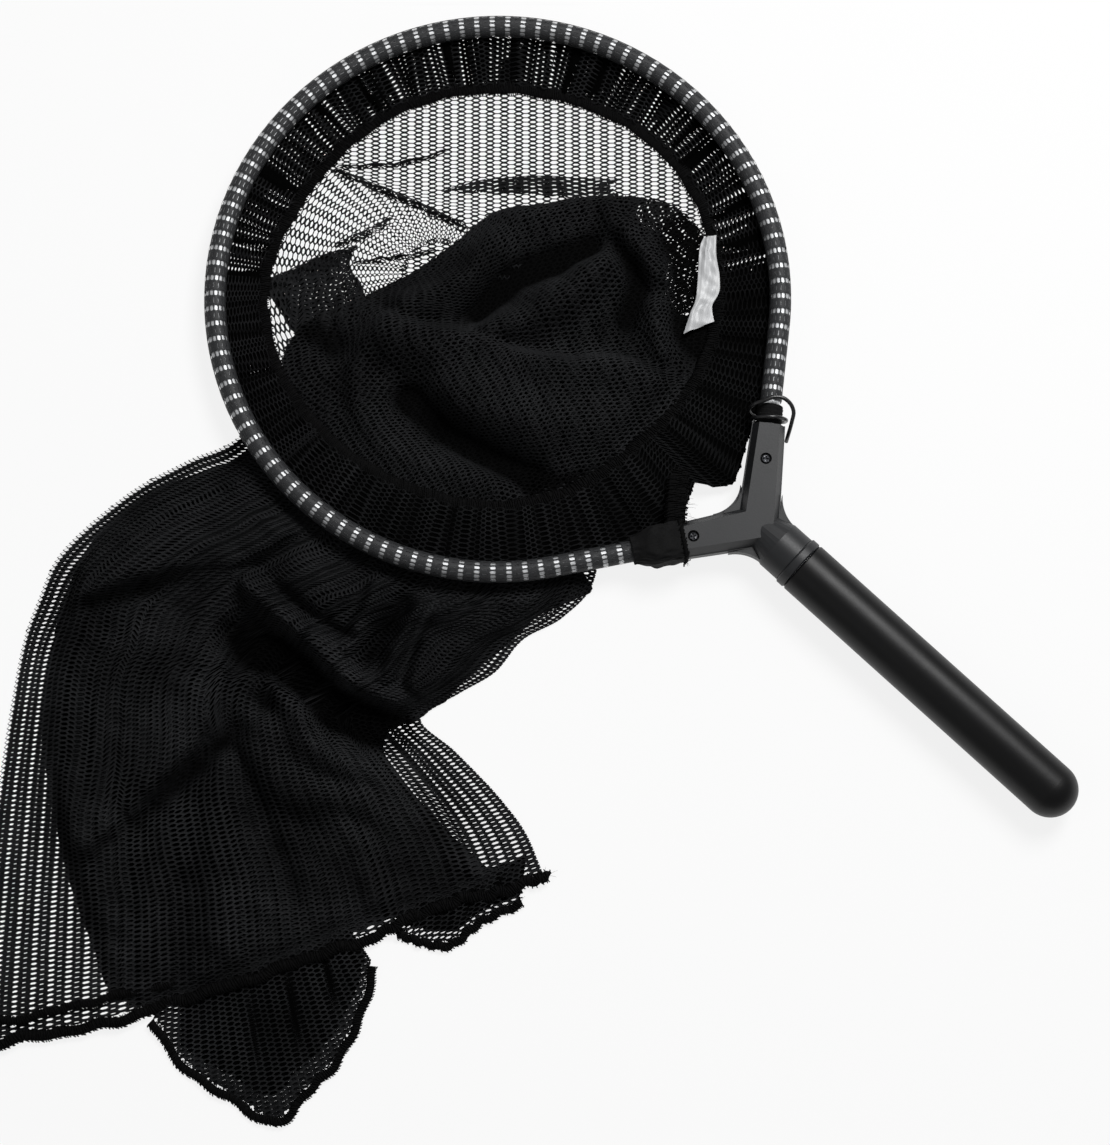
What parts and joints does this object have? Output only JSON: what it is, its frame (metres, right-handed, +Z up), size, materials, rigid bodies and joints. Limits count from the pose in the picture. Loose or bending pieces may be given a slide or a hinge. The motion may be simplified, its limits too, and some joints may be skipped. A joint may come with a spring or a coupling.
{
  "type": "koi sock net",
  "caption": "Short-handled fish net: round hoop in a two-shell yoke on a straight grip, with a gathered mesh mouth and a long open-ended knitted sock lying flat beside it.",
  "frame": {"origin": "centre of the round of the hoop, on the floor that the net lies on", "axes": "+X along the handle, from the hoop to the end of the grip; +Z up from the floor; the sock trails towards -Y"},
  "size_m": [0.6759, 0.757, 0.035],
  "materials": {
    "bare_aluminium": "drawn tube, satin",
    "moulded_plastic": "fine moulded texture",
    "screw_steel": "black oxide",
    "grip_vinyl": "semi-gloss dipped vinyl",
    "knitted_net": "open warp-knitted mesh",
    "black_tape": "overlocked thread and tape",
    "white_satin": "woven satin ribbon",
    "black_cord": "smooth elastic cord"
  },
  "bodies": {
    "root": {"hoop_tube": "bare_aluminium", "yoke_upper_shell": "moulded_plastic", "yoke_lower_shell": "moulded_plastic", "yoke_screws": "screw_steel", "collar_ring": "moulded_plastic", "handle_core": "bare_aluminium", "handle_grip": "grip_vinyl", "rim_sleeve": "knitted_net", "sleeve_binding": "black_tape", "sleeve_cuff": "black_tape", "header_band": "knitted_net", "header_seam": "black_tape", "mouth_net": "knitted_net", "sock_bunch": "knitted_net", "sock_tail": "knitted_net", "sock_hem": "black_tape", "lower_flap": "knitted_net", "flap_hem": "black_tape", "care_label": "white_satin", "tie_cord": "black_cord"}
  },
  "joints": []
}
